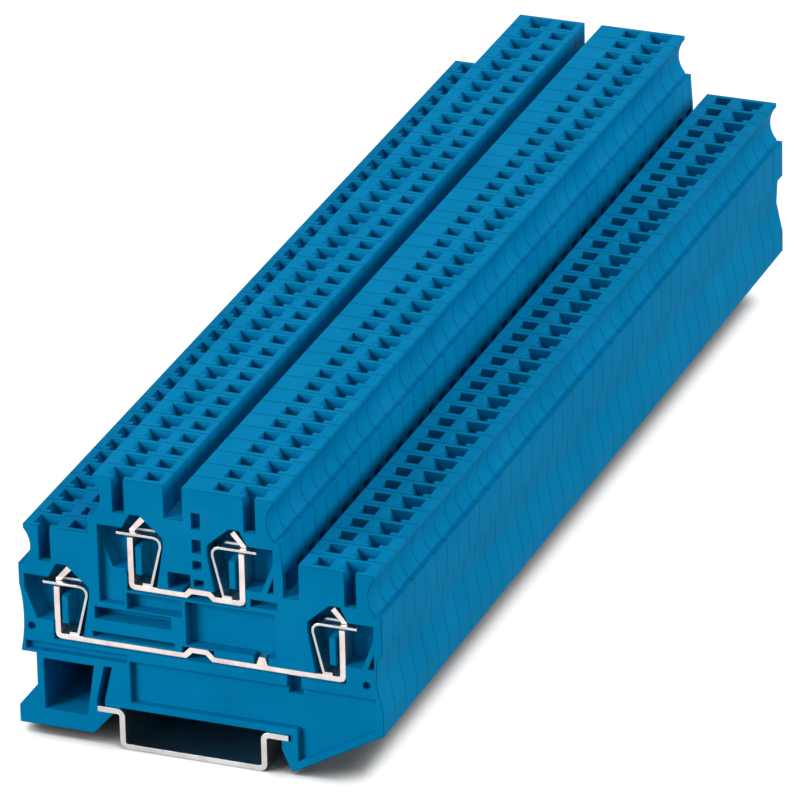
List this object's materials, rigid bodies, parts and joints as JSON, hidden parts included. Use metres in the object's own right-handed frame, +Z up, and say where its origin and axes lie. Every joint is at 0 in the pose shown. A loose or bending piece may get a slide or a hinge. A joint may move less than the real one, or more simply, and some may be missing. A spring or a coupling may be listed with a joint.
{
  "type": "double-level terminal block",
  "caption": "Bank of double-level spring-cage terminal blocks latched side by side on a top-hat rail, each with stepped wire funnels and screwdriver slots.",
  "frame": {"origin": "middle of the underside of the rail, half-way along the bank", "axes": "+Y along the rail, away from the open side of the blocks; +Z up from the mounting surface; +X across the blocks towards the fixed claw"},
  "size_m": [0.067, 0.2093, 0.0512],
  "materials": {
    "housing_polyamide": "satin moulded polyamide, blue",
    "tinned_copper": "tin plated",
    "spring_steel": "bright rolled strip",
    "zinc_plated_steel": "zinc plated sheet"
  },
  "bodies": {
    "root": {"housing_01": "housing_polyamide", "housing_02": "housing_polyamide", "housing_03": "housing_polyamide", "housing_04": "housing_polyamide", "housing_05": "housing_polyamide", "housing_06": "housing_polyamide", "housing_07": "housing_polyamide", "housing_08": "housing_polyamide", "housing_09": "housing_polyamide", "housing_10": "housing_polyamide", "housing_11": "housing_polyamide", "housing_12": "housing_polyamide", "housing_13": "housing_polyamide", "housing_14": "housing_polyamide", "housing_15": "housing_polyamide", "housing_16": "housing_polyamide", "housing_17": "housing_polyamide", "housing_18": "housing_polyamide", "housing_19": "housing_polyamide", "housing_20": "housing_polyamide", "housing_21": "housing_polyamide", "housing_22": "housing_polyamide", "housing_23": "housing_polyamide", "housing_24": "housing_polyamide", "housing_25": "housing_polyamide", "housing_26": "housing_polyamide", "housing_27": "housing_polyamide", "housing_28": "housing_polyamide", "housing_29": "housing_polyamide", "housing_30": "housing_polyamide", "housing_31": "housing_polyamide", "housing_32": "housing_polyamide", "housing_33": "housing_polyamide", "housing_34": "housing_polyamide", "housing_35": "housing_polyamide", "housing_36": "housing_polyamide", "housing_37": "housing_polyamide", "housing_38": "housing_polyamide", "housing_39": "housing_polyamide", "housing_40": "housing_polyamide", "lower_current_bars": "tinned_copper", "upper_current_bars": "tinned_copper", "lower_left_springs": "spring_steel", "upper_left_springs": "spring_steel", "upper_right_springs": "spring_steel", "lower_right_springs": "spring_steel", "mounting_rail": "zinc_plated_steel"}
  },
  "joints": []
}
